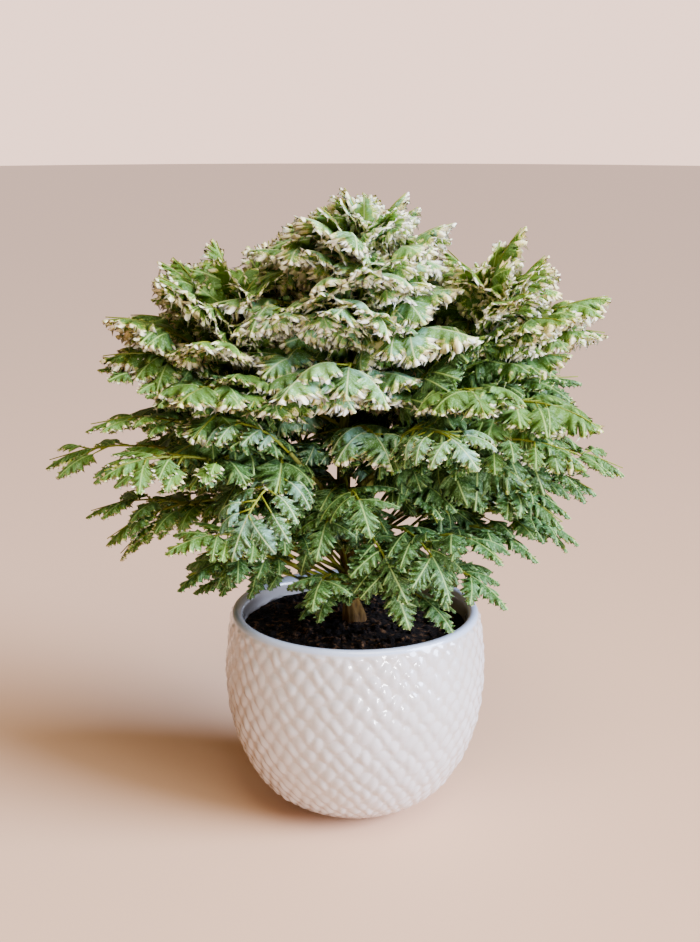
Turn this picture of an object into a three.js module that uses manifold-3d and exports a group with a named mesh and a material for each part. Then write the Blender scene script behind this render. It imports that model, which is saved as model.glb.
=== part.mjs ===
// A potted frosty fern: a glazed pot with a raised scale pattern, its soil, the branching stems, and
// one mesh for each frond. Millimetres, +Z up, with the origin at the centre of the pot's foot.
// Directions are in degrees: 0 is +X (right), 90 is +Y (back) and 270 is -Y (front).
import * as THREE from 'three';
import Module from 'manifold-3d';

const wasm = await Module();
wasm.setup();

// Driving dimensions of the pot
const pot = {
  height: 100,
  outline: [[27, 0], [33, 2.5], [43, 10], [50.8, 20], [58, 35], [62, 52], [63.3, 70], [62.3, 86],
    [60.9, 96.5]],
  lip: [[60.9, 96.5], [59.2, 100], [56.4, 100], [54.8, 97.5]],
  inside: [[54.5, 94], [57, 62], [50.5, 28], [33, 6]],
  scalesRound: 32,
  scaleRows: 17,
  scaleFrom: 2.5,
  scaleTo: 96,
  scaleRise: 1.3,
};

// Driving dimensions of the soil and of the gap that touching pieces keep
const gap = 0.35;
const soil = {
  edgeHeight: 90.5,
  crownHeight: 94,
  holeRadius: 7.8,
  holeFloor: 56,
  holeSides: 16,
  unevenness: 1.1,
  rings: [[47, 32], [37, 16], [26, 16], [16, 16]],
};

// Each stem is a smooth curve through its points, with its radii from root to tip spread evenly along it
const plainStemSides = 6;
const ringsPerPoint = 2;
const stems = {
  main: {
    points: [[0, 0, 57], [0, 0, 91], [-2, 0, 104], [-4, 0, 132], [-6, -1, 165], [-5, -1, 195], [-1, 0, 222],
      [3, 0, 246], [4, 0, 264]],
    radii: [7, 6.6, 4.3, 3.7, 3, 2.5, 2, 1.5, 1.1],
    sides: 8,
  },
  left: { points: [[-4, 0, 130], [-22, 1, 156], [-42, 3, 184], [-62, 4, 226]], radii: [2.6, 1.1] },
  right: { points: [[-6, -1, 150], [14, -2, 170], [40, -3, 194], [66, -3, 232]], radii: [2.6, 1.1] },
  backLeft: { points: [[-4, 0, 128], [-16, 18, 154], [-30, 36, 182], [-38, 46, 208]], radii: [2.2, 1] },
  backRight: { points: [[-4, 0, 140], [12, 20, 164], [26, 38, 188], [36, 48, 210]], radii: [2.2, 1] },
  back: { points: [[-5, 0, 150], [-3, 24, 174], [0, 42, 200], [1, 48, 220]], radii: [2.2, 1] },
  frontLeft: { points: [[-6, -1, 150], [-18, -18, 168], [-30, -32, 186]], radii: [1.9, 1] },
  frontRight: { points: [[-6, -1, 154], [8, -20, 172], [22, -34, 188]], radii: [1.9, 1] },
};

// The two kinds of frond: broad fans on the crowns, and long feathers at the sides and below. Widths and
// tips are shares of the blade's length, and sweep is the leaflets' lean from the rib, lowest to topmost.
const forms = {
  fan: {
    petiole: 0.12, pairs: 4, width: 0.6, widest: 0.4, sweep: [84, 30], skirt: 0.42, tip: 0.32, flare: 0.065,
  },
  feather: {
    petiole: 0.2, pairs: 4, width: 0.44, widest: 0.34, sweep: [68, 46], skirt: 0.44, tip: 0.26, flare: 0.035,
  },
};

// A frond's thickness and the shape of its leaflets. footWidth and endWidth are shares of its widest place.
const blade = {
  thickness: 0.8,
  rib: 1.6,
  footWidth: 0.6,
  endWidth: 0.5,
  foot: 0.4,
  tooth: 0.62,
  notch: 0.72,
  notchWidth: 0.45,
  tipWidth: 0.34,
};

// Fronds that stand round a stem in a spiral, within spread degrees of the way the crown faces, and reach
// out to the crown's rounded outside (centre and radii of an egg shape). Each pair of values runs from the
// lowest frond to the topmost.
const crowns = [
  { stem: 'main', count: 19, form: 'fan', along: [0.44, 1], facing: 262, spread: 180, pitch: [24, 84],
    rounding: 1.8, bend: [98, 30], centre: [-2, 0, 226], radii: [68, 66, 78] },
  { stem: 'left', count: 7, form: 'feather', along: [0.36, 1], facing: 186, spread: 76, pitch: [20, 68],
    rounding: 3, bend: [62, 40], centre: [-62, 0, 216], radii: [64, 64, 64] },
  { stem: 'right', count: 7, form: 'feather', along: [0.36, 1], facing: 352, spread: 76, pitch: [20, 68],
    rounding: 3, bend: [62, 40], centre: [68, 0, 216], radii: [62, 64, 66] },
  { stem: 'backLeft', count: 4, form: 'feather', along: [0.6, 1], facing: 125, spread: 100, pitch: [26, 82],
    bend: [74, 20], centre: [-40, 48, 208], radii: [62, 62, 68] },
  { stem: 'backRight', count: 3, form: 'feather', along: [0.6, 1], facing: 55, spread: 90, pitch: [26, 70],
    bend: [74, 36], centre: [42, 50, 206], radii: [60, 62, 60] },
  { stem: 'back', count: 3, form: 'fan', along: [0.6, 1], facing: 90, spread: 90, pitch: [26, 66],
    bend: [90, 50], centre: [0, 52, 214], radii: [58, 60, 62] },
  { stem: 'frontLeft', count: 2, form: 'fan', along: [0.7, 1], facing: 235, spread: 70, pitch: [20, 44],
    bend: [96, 80], centre: [-28, -34, 178], radii: [56, 56, 42] },
  { stem: 'frontRight', count: 1, form: 'fan', along: [1, 1], facing: 300, spread: 0, pitch: [40, 40],
    bend: [90, 80], centre: [26, -34, 180], radii: [54, 56, 42] },
];

// The lengths that a crown's fronds keep between, and the steepest that any frond stands
const shortestFrond = 30;
const longestFrond = 110;
const steepestPitch = 88;

// How far a frond may be shortened and moved off its stem where it meets another
const shrinks = [1, 0.86, 0.72, 0.58, 0.46];
const standOffs = [0, 0.3, 0.6];

// Single fronds: the stem and the height they leave it at, their direction, length and own petiole
const lowFronds = [
  { stem: 'left', height: 150, azimuth: 178, pitch: 28, length: 140, bend: 52, petiole: 0.3 },
  { stem: 'main', height: 120, azimuth: 182, pitch: 26, length: 132, bend: 52, petiole: 0.5 },
  { stem: 'main', height: 112, azimuth: 210, pitch: 30, length: 96, bend: 70, petiole: 0.36 },
  { stem: 'main', height: 106, azimuth: 156, pitch: 22, length: 88, bend: 52, petiole: 0.36 },
  { stem: 'main', height: 108, azimuth: 252, pitch: 26, length: 50, bend: 76, petiole: 0.3 },
  { stem: 'main', height: 158, azimuth: 246, pitch: 4, length: 56, bend: 62, petiole: 0.2 },
  { stem: 'main', height: 138, azimuth: 294, pitch: 20, length: 90, bend: 100, petiole: 0.34 },
  { stem: 'main', height: 110, azimuth: 326, pitch: 28, length: 92, bend: 76, petiole: 0.34 },
  { stem: 'main', height: 118, azimuth: 342, pitch: 32, length: 120, bend: 76, petiole: 0.38 },
  { stem: 'main', height: 128, azimuth: 4, pitch: 34, length: 134, bend: 74, petiole: 0.4 },
  { stem: 'right', height: 164, azimuth: 2, pitch: 20, length: 128, bend: 50, petiole: 0.3 },
];

const rad = THREE.MathUtils.degToRad;
const lerp = THREE.MathUtils.lerp;
const goldenShare = 0.618034;
const curveSamples = 400;

// Materials
function material(color, roughness) {
  return new THREE.MeshStandardMaterial({ color, roughness, metalness: 0 });
}
const glaze = material(0xe9e3dc, 0.25);
const earth = material(0x2b2019, 1);
const bark = material(0x76702f, 0.75);
const frosted = material(0xa9bf93, 0.55);
const leafy = material(0x4f7a3c, 0.5);

// The same sequence of draws at each build
function seededDraws(seed) {
  let state = seed;
  return () => {
    state = (Math.imul(state, 1664525) + 1013904223) >>> 0;
    return state / 4294967296;
  };
}

function geometryOf(vertices, triangles) {
  const geometry = new THREE.BufferGeometry();
  const coordinates = vertices.flatMap((v) => v.toArray());
  geometry.setAttribute('position', new THREE.Float32BufferAttribute(coordinates, 3));
  geometry.setIndex(triangles.flat());
  return geometry;
}

function solidOf(geometry) {
  return new wasm.Manifold(new wasm.Mesh({
    numProp: 3,
    vertProperties: geometry.attributes.position.array,
    triVerts: new Uint32Array(geometry.index.array),
  }));
}

function geometryOfSolid(solid) {
  const mesh = solid.getMesh();
  const geometry = new THREE.BufferGeometry();
  geometry.setAttribute('position', new THREE.Float32BufferAttribute(mesh.vertProperties, 3));
  geometry.setIndex(Array.from(mesh.triVerts));
  return geometry;
}

// A closed skin over a stack of rings, each a list of points that turn the same way round. A ring of one
// point closes an end, and a ring may have half as many points as its neighbour. lean(row, i) says which
// way a four-sided cell is split.
function skinOf(rings, lean = () => 0) {
  const vertices = rings.flat();
  const starts = rings.map((_, r) => rings.slice(0, r).reduce((n, ring) => n + ring.length, 0));
  const triangles = [];
  for (let r = 0; r + 1 < rings.length; r += 1) {
    const [lower, upper] = [rings[r].length, rings[r + 1].length];
    const low = (i) => starts[r] + (i % lower);
    const high = (i) => starts[r + 1] + (i % upper);
    const cells = Math.min(lower, upper) === 1 ? Math.max(lower, upper) : Math.min(lower, upper);
    for (let i = 0; i < cells; i += 1) {
      if (upper === 1) triangles.push([low(i), low(i + 1), high(0)]);
      else if (lower === 1) triangles.push([low(0), high(i + 1), high(i)]);
      else if (lower === 2 * upper) {
        triangles.push([low(2 * i), low(2 * i + 1), high(i)], [low(2 * i + 1), high(i + 1), high(i)]);
        triangles.push([low(2 * i + 1), low(2 * i + 2), high(i + 1)]);
      } else if (lean(r, i)) {
        triangles.push([low(i), low(i + 1), high(i)], [low(i + 1), high(i + 1), high(i)]);
      } else triangles.push([low(i), low(i + 1), high(i + 1)], [low(i), high(i + 1), high(i)]);
    }
  }
  return geometryOf(vertices, triangles);
}

function ringAt(radius, height, count, rise = () => 0) {
  return Array.from({ length: count }, (_, i) => {
    const angle = (2 * Math.PI * i) / count;
    return new THREE.Vector3(radius * Math.cos(angle), radius * Math.sin(angle), height + rise(i));
  });
}

// The pot: rows of scales pushed out from its outline in a chequer, a rounded lip and a plain inside
function potGeometry() {
  const sides = 2 * pot.scalesRound;
  const outline = new THREE.SplineCurve(pot.outline.map(([r, z]) => new THREE.Vector2(r, z)));
  const samples = outline.getSpacedPoints(curveSamples);
  const first = samples.findIndex((p) => p.y >= pot.scaleFrom);
  const last = samples.findIndex((p) => p.y >= pot.scaleTo);
  const rows = Array.from({ length: pot.scaleRows + 1 }, (_, row) => {
    const at = Math.round(lerp(first, last, row / pot.scaleRows));
    const along = samples[at + 1].clone().sub(samples[at - 1]).normalize();
    const edge = row === 0 || row === pot.scaleRows;
    return Array.from({ length: sides }, (_, i) => {
      const rise = !edge && (i + row) % 2 ? pot.scaleRise : 0;
      const radius = samples[at].x + along.y * rise;
      const height = samples[at].y - along.x * rise;
      const angle = (2 * Math.PI * i) / sides;
      return new THREE.Vector3(radius * Math.cos(angle), radius * Math.sin(angle), height);
    });
  });
  const foot = pot.outline[0];
  const rings = [
    [new THREE.Vector3(0, 0, 0)],
    ringAt(foot[0], foot[1], sides),
    ...rows,
    ...pot.lip.map(([r, z]) => ringAt(r, z, sides)),
    ...pot.inside.map(([r, z]) => ringAt(r, z, pot.scalesRound)),
    [new THREE.Vector3(0, 0, pot.inside.at(-1)[1])],
  ];
  const lastScaleRing = pot.scaleRows + 2;
  return skinOf(rings, (r, i) => (r < lastScaleRing ? (i + r) % 2 : 0));
}

// The soil fills the pot, a gap clear of it, and has a plain hole for the trunk
function soilGeometry() {
  const draw = seededDraws(11);
  const sides = pot.scalesRound;
  const bump = () => (draw() - 0.5) * 2 * soil.unevenness;
  const [neck, belly, hip, floor] = pot.inside;
  const edgeRadius = lerp(neck[0], belly[0], (neck[1] - soil.edgeHeight) / (neck[1] - belly[1]));
  const wall = [floor, hip, belly].map(([r, z]) => [r - gap, z]);
  const height = (r) => lerp(soil.crownHeight, soil.edgeHeight, r / edgeRadius);
  const rings = [
    [new THREE.Vector3(0, 0, floor[1] + gap)],
    ringAt(wall[0][0] - gap, floor[1] + gap, sides),
    ...wall.slice(1).map(([r, z]) => ringAt(r, z, sides)),
    ringAt(edgeRadius - gap, soil.edgeHeight, sides),
    ...soil.rings.map(([r, count]) => ringAt(r, height(r), count, bump)),
    ringAt(soil.holeRadius, soil.crownHeight, soil.holeSides),
    ringAt(soil.holeRadius, soil.holeFloor, soil.holeSides),
    [new THREE.Vector3(0, 0, soil.holeFloor)],
  ];
  return skinOf(rings);
}

// A tapered stem along a curve, with a ring of points at each step
function stemCurve(stem) {
  return new THREE.CatmullRomCurve3(stem.points.map((p) => new THREE.Vector3(...p)), false, 'centripetal');
}

function stemRadius(stem, t) {
  const place = t * (stem.radii.length - 1);
  const i = Math.min(Math.floor(place), stem.radii.length - 2);
  return lerp(stem.radii[i], stem.radii[i + 1], place - i);
}

function stemGeometry(stem) {
  const curve = stemCurve(stem);
  const sides = stem.sides ?? plainStemSides;
  const steps = (stem.points.length - 1) * ringsPerPoint;
  const frames = curve.computeFrenetFrames(steps);
  const rings = Array.from({ length: steps + 1 }, (_, i) => {
    const centre = curve.getPoint(i / steps);
    const radius = stemRadius(stem, i / steps);
    return Array.from({ length: sides }, (_, k) => {
      const angle = (2 * Math.PI * k) / sides;
      return centre.clone()
        .addScaledVector(frames.normals[i], radius * Math.cos(angle))
        .addScaledVector(frames.binormals[i], radius * Math.sin(angle));
    });
  });
  return skinOf([[curve.getPoint(0)], ...rings, [curve.getPoint(1)]]);
}

// The outline of a frond laid flat: s runs along the rib from its root and w to the left of it. Each
// leaflet is cut to the rib and ends in a point between two teeth.
function frondOutline(frond) {
  const form = forms[frond.form];
  const petiole = frond.petiole ?? form.petiole;
  const bladeStart = petiole * frond.length;
  const tipLength = form.tip * (frond.length - bladeStart);
  const pitch = (frond.length - bladeStart - tipLength) / form.pairs;
  const points = [];
  const triangles = [];
  const put = (s, w) => points.push([s, w]) - 1;
  const half = blade.rib / 2;
  const stations = [0, ...Array.from({ length: form.pairs + 1 }, (_, i) => bladeStart + i * pitch)];
  const left = stations.map((s) => put(s, half));
  const right = stations.map((s) => put(s, -half));
  stations.slice(1).forEach((_, i) => {
    triangles.push([right[i], right[i + 1], left[i + 1]], [right[i], left[i + 1], left[i]]);
  });

  function leaflet(rear, front, reach, sweep, spread) {
    const [[s0, w0], [s1, w1]] = [points[rear], points[front]];
    const across = [-Math.sin(sweep), Math.cos(sweep)];
    const at = (share, offset) => put((s0 + s1) / 2 + Math.cos(sweep) * reach * share + across[0] * offset,
      (w0 + w1) / 2 + Math.sin(sweep) * reach * share + across[1] * offset);
    const rearTooth = at(blade.tooth, -spread);
    const rearNotch = at(blade.notch, -spread * blade.notchWidth);
    const tip = at(1, 0);
    const frontNotch = at(blade.notch, spread * blade.notchWidth);
    const frontTooth = at(blade.tooth, spread);
    triangles.push([rear, rearTooth, rearNotch], [rearNotch, tip, frontNotch]);
    triangles.push([front, frontNotch, frontTooth]);
    triangles.push([rear, rearNotch, front], [rearNotch, frontNotch, front]);
  }

  for (let i = 0; i < form.pairs; i += 1) {
    const u = (i + 0.5) / form.pairs;
    const beyond = (u - form.widest) / (1 - form.widest);
    const fullness = beyond < 0
      ? lerp(blade.footWidth, 1, u / form.widest)
      : lerp(1, blade.endWidth, beyond);
    const reach = form.width * (frond.length - bladeStart) * fullness;
    const sweep = rad(lerp(...form.sweep, u));
    const spread = blade.foot * pitch * Math.sin(sweep) + form.flare * reach;
    leaflet(left[i + 1], left[i + 2], reach, sweep, -spread);
    leaflet(right[i + 1], right[i + 2], reach, -sweep, spread);
  }
  leaflet(right.at(-1), left.at(-1), tipLength, 0, tipLength * blade.tipWidth);
  return { points, triangles, bladeStart };
}

// Lays the outline on the frond's arch and gives it its thickness, with faces alike on both sides
function frondGeometry(frond, thickness) {
  const form = forms[frond.form];
  const { points, triangles, bladeStart } = frondOutline(frond);
  const bladeLength = frond.length - bladeStart;
  const bend = rad(frond.bend);
  const archRadius = bladeLength / bend;
  const widest = form.width * bladeLength;
  const lay = ([s, w], lift) => {
    const turned = Math.max(0, (s - bladeStart) / archRadius);
    const drop = form.skirt * widest * (w / widest) ** 2;
    const along = s < bladeStart ? s : bladeStart + archRadius * Math.sin(turned);
    const down = archRadius * (1 - Math.cos(turned));
    const out = lift - drop;
    return new THREE.Vector3(along + out * Math.sin(turned), w, out * Math.cos(turned) - down);
  };
  const count = points.length;
  const upper = points.map((p) => lay(p, thickness / 2));
  const lower = points.map((p) => lay(p, -thickness / 2));
  const vertices = [...upper, ...lower];
  const faces = [];
  const borders = new Map();
  for (const triangle of triangles) {
    const [a, b, c] = triangle.map((i) => points[i]);
    const turn = (b[0] - a[0]) * (c[1] - a[1]) - (b[1] - a[1]) * (c[0] - a[0]);
    const face = turn > 0 ? triangle : [...triangle].reverse();
    faces.push(face, face.map((i) => i + count).reverse());
    face.forEach((from, k) => {
      const to = face[(k + 1) % 3];
      if (!borders.delete(`${to}-${from}`)) borders.set(`${from}-${to}`, [from, to]);
    });
  }
  for (const [from, to] of borders.values()) {
    faces.push([from + count, to + count, to], [from + count, to, from]);
  }
  return geometryOf(vertices, faces);
}

// Where a frond leaves its stem and how it is turned. One at the very end stands on the stem's tip.
function frondPlacement(frond, turn) {
  const stem = stems[frond.stem];
  const curve = stemCurve(stem);
  const centre = curve.getPoint(frond.along);
  const grain = curve.getTangent(frond.along);
  const azimuth = rad(frond.azimuth + turn.azimuth);
  const pitch = rad(Math.min(frond.pitch + turn.pitch, steepestPitch));
  const level = new THREE.Vector3(Math.cos(azimuth), Math.sin(azimuth), 0);
  const heading = level.clone().multiplyScalar(Math.cos(pitch)).setZ(Math.sin(pitch));
  const side = new THREE.Vector3(-level.y, level.x, 0).applyAxisAngle(heading, rad(turn.roll));
  const up = new THREE.Vector3().crossVectors(heading, side);
  const outward = heading.clone().addScaledVector(grain, -heading.dot(grain)).normalize();
  const atTip = frond.along === 1;
  const standOff = (atTip ? 0 : stemRadius(stem, frond.along)) + gap + turn.standOff;
  const root = centre.addScaledVector(atTip ? grain : outward, standOff);
  return new THREE.Matrix4().makeBasis(heading, side, up).setPosition(root);
}

const noTurn = { azimuth: 0, pitch: 0, roll: 0, standOff: 0 };

// The length at which a frond's tip reaches the outside of its crown
function lengthToOutside(frond, crown) {
  const petiole = forms[frond.form].petiole;
  const bend = rad(frond.bend);
  const placement = frondPlacement(frond, noTurn);
  const centre = new THREE.Vector3(...crown.centre);
  const radii = new THREE.Vector3(...crown.radii);
  let length = shortestFrond;
  const outside = () => {
    const arch = (length * (1 - petiole)) / bend;
    const along = length * petiole + arch * Math.sin(bend);
    const tip = new THREE.Vector3(along, 0, -arch * (1 - Math.cos(bend)));
    return tip.applyMatrix4(placement).sub(centre).divide(radii).length() > 1;
  };
  while (!outside() && length < longestFrond) length += 1;
  return length;
}

function listFronds() {
  const listed = lowFronds.map((low, i) => {
    const curve = stemCurve(stems[low.stem]);
    const places = Array.from({ length: curveSamples + 1 }, (_, k) => k / curveSamples);
    const along = places.find((t) => curve.getPoint(t).z >= low.height);
    return { name: `low_frond_${i + 1}`, form: 'feather', ...low, along };
  });
  for (const crown of crowns) {
    for (let i = 0; i < crown.count; i += 1) {
      const u = i / Math.max(crown.count - 1, 1);
      const place = (0.5 + i * goldenShare) % 1;
      const frond = {
        name: `${crown.stem}_frond_${i + 1}`,
        stem: crown.stem,
        form: crown.form,
        along: lerp(...crown.along, u),
        azimuth: crown.facing + crown.spread * (2 * place - 1),
        pitch: lerp(...crown.pitch, u ** (crown.rounding ?? 2)),
        bend: lerp(...crown.bend, u * u),
      };
      listed.push({ ...frond, length: lengthToOutside(frond, crown) });
    }
  }
  return listed;
}

// Ways to bend a frond clear of the others, from the slightest turn to the largest
function turnsByEffort() {
  const turns = [];
  for (let azimuth = -60; azimuth <= 60; azimuth += 12)
    for (let pitch = -24; pitch <= 32; pitch += 8)
      for (let roll = -40; roll <= 40; roll += 20)
        turns.push({ azimuth, pitch, roll, effort: Math.hypot(azimuth, 1.6 * pitch, 0.8 * roll) });
  return turns.sort((a, b) => a.effort - b.effort);
}

function boxesMeet(a, b) {
  return [0, 1, 2].every((k) => a.min[k] < b.max[k] && b.min[k] < a.max[k]);
}

// Joins the stems where they branch
const stemSolids = Object.values(stems).map((stem) => solidOf(stemGeometry(stem)));
const stemSolid = stemSolids.reduce((all, one) => all.add(one));

// Places each frond where it stays clear of the stems and of every frond before it
function placeFronds() {
  const placed = [stemSolid, solidOf(potGeometry()), solidOf(soilGeometry())]
    .map((solid) => ({ solid, box: solid.boundingBox() }));
  const turns = turnsByEffort();
  const meshes = [];
  for (const frond of listFronds()) {
    const fits = shrinks.some((shrink) => {
      const sized = { ...frond, length: frond.length * shrink };
      const roomy = frondGeometry(sized, blade.thickness + gap);
      return turns.some((turn) => standOffs.some((standOff) => {
        const matrix = frondPlacement(sized, { ...turn, standOff });
        const probe = solidOf(roomy.clone().applyMatrix4(matrix));
        const box = probe.boundingBox();
        const blocker = placed.findIndex((other) => (
          boxesMeet(box, other.box) && !probe.intersect(other.solid).isEmpty()));
        if (blocker >= 0) {
          placed.unshift(...placed.splice(blocker, 1));
          return false;
        }
        const finish = frond.form === 'fan' ? frosted : leafy;
        const mesh = new THREE.Mesh(frondGeometry(sized, blade.thickness), finish);
        mesh.name = frond.name;
        matrix.decompose(mesh.position, mesh.quaternion, mesh.scale);
        meshes.push(mesh);
        placed.push({ solid: probe, box });
        return true;
      }));
    });
    if (!fits) throw new Error(`${frond.name} finds no room`);
  }
  return meshes;
}

const plant = new THREE.Group();
plant.name = 'potted_frosty_fern';
for (const [name, geometry, finish] of [
  ['pot', potGeometry(), glaze],
  ['soil', soilGeometry(), earth],
  ['stems', geometryOfSolid(stemSolid), bark],
]) {
  const mesh = new THREE.Mesh(geometry, finish);
  mesh.name = name;
  plant.add(mesh);
}
plant.add(...placeFronds());

export default plant;
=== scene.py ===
# A potted frosty fern: glazed pot with a raised scale pattern, crumbly soil, barked stems and lacy fronds
import math
import random
from collections import Counter

import bpy
import numpy as np
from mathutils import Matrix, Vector, noise


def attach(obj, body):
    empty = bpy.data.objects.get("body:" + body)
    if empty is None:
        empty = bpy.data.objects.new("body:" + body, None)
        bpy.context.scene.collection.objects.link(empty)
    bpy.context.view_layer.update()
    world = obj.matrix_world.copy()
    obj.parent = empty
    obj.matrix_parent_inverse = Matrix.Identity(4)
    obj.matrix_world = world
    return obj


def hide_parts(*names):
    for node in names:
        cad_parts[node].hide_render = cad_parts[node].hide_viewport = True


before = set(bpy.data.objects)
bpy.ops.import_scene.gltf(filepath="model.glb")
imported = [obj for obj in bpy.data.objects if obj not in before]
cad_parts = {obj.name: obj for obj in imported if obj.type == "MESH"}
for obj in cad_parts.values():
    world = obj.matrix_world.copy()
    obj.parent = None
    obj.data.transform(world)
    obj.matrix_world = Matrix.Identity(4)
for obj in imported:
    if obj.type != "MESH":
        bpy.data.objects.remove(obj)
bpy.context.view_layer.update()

mm = 0.001
rad = math.radians


# What several pieces share

def lerp(a, b, t):
    return a + (b - a) * t


def linear(hexColour):
    # sRGB hex to the linear values that a shader socket takes
    parts = [int(hexColour[i:i + 2], 16) / 255 for i in (1, 3, 5)]
    return tuple(p / 12.92 if p <= 0.04045 else ((p + 0.055) / 1.055) ** 2.4 for p in parts) + (1.0,)


def turned(angle):
    # a turn round the upright axis
    c, s = math.cos(angle), math.sin(angle)
    return np.array([[c, -s, 0], [s, c, 0], [0, 0, 1]])


def dropSelection():
    if bpy.context.mode != "OBJECT":
        bpy.ops.object.mode_set(mode="OBJECT")
    bpy.ops.object.select_all(action="DESELECT")


def pick(piece):
    dropSelection()
    piece.select_set(True)
    bpy.context.view_layer.objects.active = piece


def readPoints(mesh):
    points = np.empty(len(mesh.vertices) * 3)
    mesh.vertices.foreach_get("co", points)
    return points.reshape(-1, 3)


def writePoints(mesh, points):
    mesh.vertices.foreach_set("co", np.asarray(points, dtype=np.float32).ravel())
    mesh.update()


def spunProfile(name, profile, turns):
    # a profile of (radius, height) points, drawn by extruding one vertex, then spun round the upright axis
    dropSelection()
    bpy.ops.mesh.primitive_plane_add(size=1 * mm, location=(profile[0][0], 0, profile[0][1]))
    piece = bpy.context.object
    piece.name = name
    bpy.ops.object.transform_apply(location=True, rotation=True, scale=True)
    bpy.ops.object.mode_set(mode="EDIT")
    bpy.ops.mesh.select_all(action="SELECT")
    bpy.ops.mesh.merge(type="CENTER")
    for (r0, z0), (r1, z1) in zip(profile, profile[1:]):
        bpy.ops.mesh.extrude_region_move(TRANSFORM_OT_translate={"value": (r1 - r0, 0, z1 - z0)})
    bpy.ops.mesh.select_all(action="SELECT")
    bpy.ops.mesh.spin(steps=turns, angle=2 * math.pi, center=(0, 0, 0), axis=(0, 0, 1))
    bpy.ops.mesh.select_all(action="SELECT")
    bpy.ops.mesh.remove_doubles(threshold=1e-6)
    bpy.ops.mesh.normals_make_consistent(inside=False)
    bpy.ops.object.mode_set(mode="OBJECT")
    return piece


def finishPiece(piece, material, slot, *nodes):
    piece.data.materials.clear()
    piece.data.materials.append(material)
    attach(piece, "root")
    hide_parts(*nodes)


def newMaterial(name):
    material = bpy.data.materials.new(name)
    material.use_nodes = True
    tree = material.node_tree
    return material, tree, tree.nodes["Principled BSDF"]


def node(tree, kind, inputs=None, **settings):
    # one node with its settings; each input is a fixed value or the output that is linked to it
    made = tree.nodes.new(kind)
    for key, value in settings.items():
        setattr(made, key, value)
    for key, value in (inputs or {}).items():
        if isinstance(value, bpy.types.NodeSocket):
            tree.links.new(value, made.inputs[key])
        else:
            made.inputs[key].default_value = value
    return made


# a Mix node has sockets of the same name for numbers, vectors and colours: these are the colours' places
mixFactor, mixFirst, mixSecond, mixResult = 0, 6, 7, 2


def layered(tree, colour, *layers):
    # lays each paint over the colour, as strongly as its weight says
    for weight, paint in layers:
        inputs = {mixFactor: weight, mixFirst: colour, mixSecond: paint}
        colour = node(tree, "ShaderNodeMix", inputs, data_type="RGBA").outputs[mixResult]
    return colour


def setStops(ramp, stops):
    # the stops of a colour ramp, each a position and a hex colour
    while len(ramp.elements) < len(stops):
        ramp.elements.new(0.5)
    for element, (position, colour) in zip(ramp.elements, stops):
        element.position = position
        element.color = linear(colour)


def setSkin(tree, shader, colour, grain, look):
    # the shader's colour, a relief from the grain, its depth in mm, and the shader's fixed values
    tree.links.new(colour, shader.inputs["Base Color"])
    inputs = {"Height": grain, "Strength": look["bump"], "Distance": look["depth"] * mm}
    tree.links.new(node(tree, "ShaderNodeBump", inputs).outputs["Normal"], shader.inputs["Normal"])
    for key, value in look["shader"].items():
        shader.inputs[key].default_value = value


# Camera, floor and light

view = {"place": (-0.0025, -0.690, 0.350), "down": 14.7, "lens": 56.75, "target": (0, 0, 0.12),
        "floor": "#DBAE8A", "floorRadius": 6, "wall": "#F6CDBB", "wallStrength": 2.7,
        "air": "#EFD0AA", "airStrength": 0.35}
window = {"from": (1.0, -0.37, 0.58), "soft": 36, "strength": 16.0, "colour": "#CADBFF"}
glint = {"place": (0.42, -0.9, 0.09), "radius": 0.07, "cone": 34, "power": 34, "colour": "#F4F6FF"}
high = {"place": (0.25, -0.5, 1.1), "size": 0.8, "power": 19, "colour": "#FFF8EA"}


def aimedAt(target, place):
    return (Vector(target) - Vector(place)).to_track_quat("-Z", "Y").to_euler()


def addLight(name, kind, place, power, colour):
    light = bpy.data.lights.new(name, kind)
    light.energy = power
    light.color = linear(colour)[:3]
    holder = bpy.data.objects.new(name, light)
    holder.location = place
    holder.rotation_euler = aimedAt(view["target"], place)
    bpy.context.scene.collection.objects.link(holder)
    return light


def makeStage():
    lens = bpy.data.cameras.new("camera")
    lens.lens = view["lens"]
    lens.clip_start = 0.01
    camera = bpy.data.objects.new("camera", lens)
    camera.location = view["place"]
    camera.rotation_euler = (rad(90 - view["down"]), 0, 0)
    bpy.context.scene.collection.objects.link(camera)
    bpy.context.scene.camera = camera

    dropSelection()
    bpy.ops.mesh.primitive_circle_add(vertices=96, radius=view["floorRadius"], fill_type="NGON")
    floor = bpy.context.object
    floor.name = "floor"
    paint, tree, shader = newMaterial("matte floor paint")
    shader.inputs["Base Color"].default_value = linear(view["floor"])
    shader.inputs["Roughness"].default_value = 0.7
    floor.data.materials.append(paint)

    # a low lamp whose cone fades out on the floor puts the glints on the pot, and a high one fills the crowns
    low = addLight("glint", "SPOT", glint["place"], glint["power"], glint["colour"])
    low.shadow_soft_size = glint["radius"]
    low.spot_size = rad(glint["cone"])
    low.spot_blend = 1
    addLight("high", "AREA", high["place"], high["power"], high["colour"]).size = high["size"]

    # the window's light is even over the whole floor
    sun = addLight("window", "SUN", window["from"], window["strength"], window["colour"])
    sun.angle = rad(window["soft"])

    # the air lights the plant softly, and past the floor the camera sees it as a pale wall
    world = bpy.data.worlds.new("soft room light")
    world.use_nodes = True
    tree = world.node_tree
    air = tree.nodes["Background"]
    air.inputs["Color"].default_value = linear(view["air"])
    air.inputs["Strength"].default_value = view["airStrength"]
    inputs = {"Color": linear(view["wall"]), "Strength": view["wallStrength"]}
    wall = node(tree, "ShaderNodeBackground", inputs).outputs["Background"]
    seen = node(tree, "ShaderNodeLightPath").outputs["Is Camera Ray"]
    both = node(tree, "ShaderNodeMixShader", {0: seen, 1: air.outputs["Background"], 2: wall})
    tree.links.new(both.outputs["Shader"], tree.nodes["World Output"].inputs["Surface"])
    bpy.context.scene.world = world


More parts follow.
